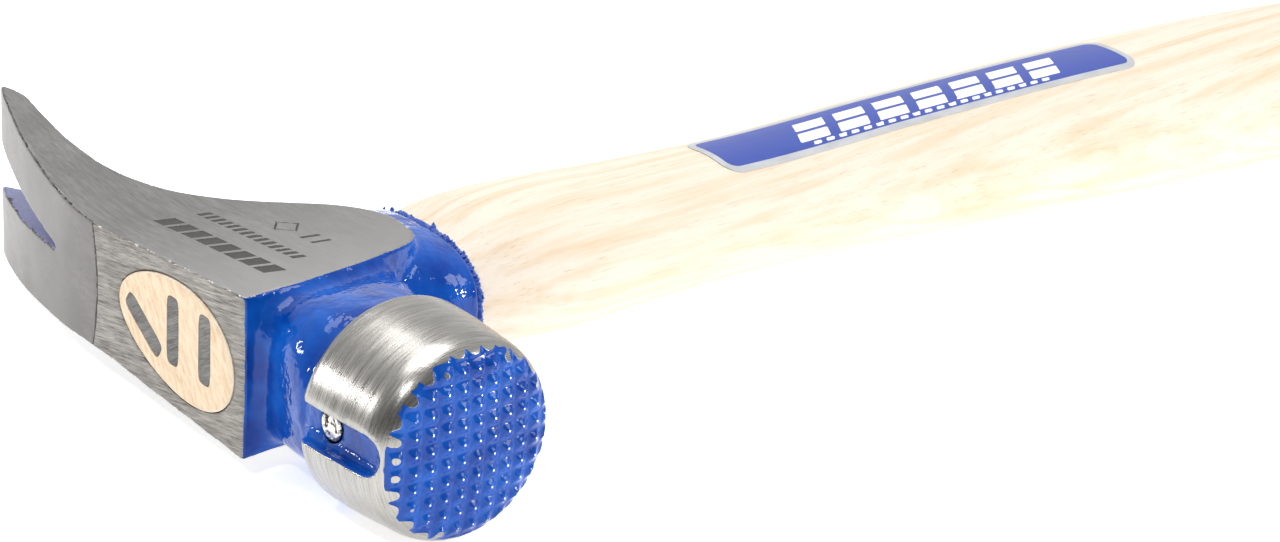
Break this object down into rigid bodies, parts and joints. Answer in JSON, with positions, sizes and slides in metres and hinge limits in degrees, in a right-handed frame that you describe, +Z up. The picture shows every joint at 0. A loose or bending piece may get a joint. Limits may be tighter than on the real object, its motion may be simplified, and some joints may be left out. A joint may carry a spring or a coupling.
{
  "type": "claw hammer",
  "caption": "Framing hammer with a milled round face, magnetic nail starter groove and straight rip claws on a curved hickory handle.",
  "frame": {"origin": "middle of the object's box in X and Y, on the flat surface that the hammer lies on", "axes": "+X from the claws to the striking face, +Y from the head to the butt of the handle, +Z up out of the upper cheek"},
  "size_m": [0.1444, 0.4318, 0.0364],
  "materials": {
    "forged_steel": "ground and brushed bare steel",
    "wedge_steel": "dark steel, ground flush",
    "magnet_nickel": "nickel plated, lightly mottled",
    "hickory": "pale satin hickory with fine grain along the handle",
    "label_print": "printed film with a silver border, satin",
    "blue_lacquer": "glossy blue lacquer"
  },
  "bodies": {
    "root": {"head": "forged_steel", "handle": "hickory", "wedge_front": "wedge_steel", "wedge_middle": "wedge_steel", "wedge_diagonal": "wedge_steel", "starter_magnet": "magnet_nickel", "label": "label_print", "lacquer_bead": "blue_lacquer"}
  },
  "joints": []
}
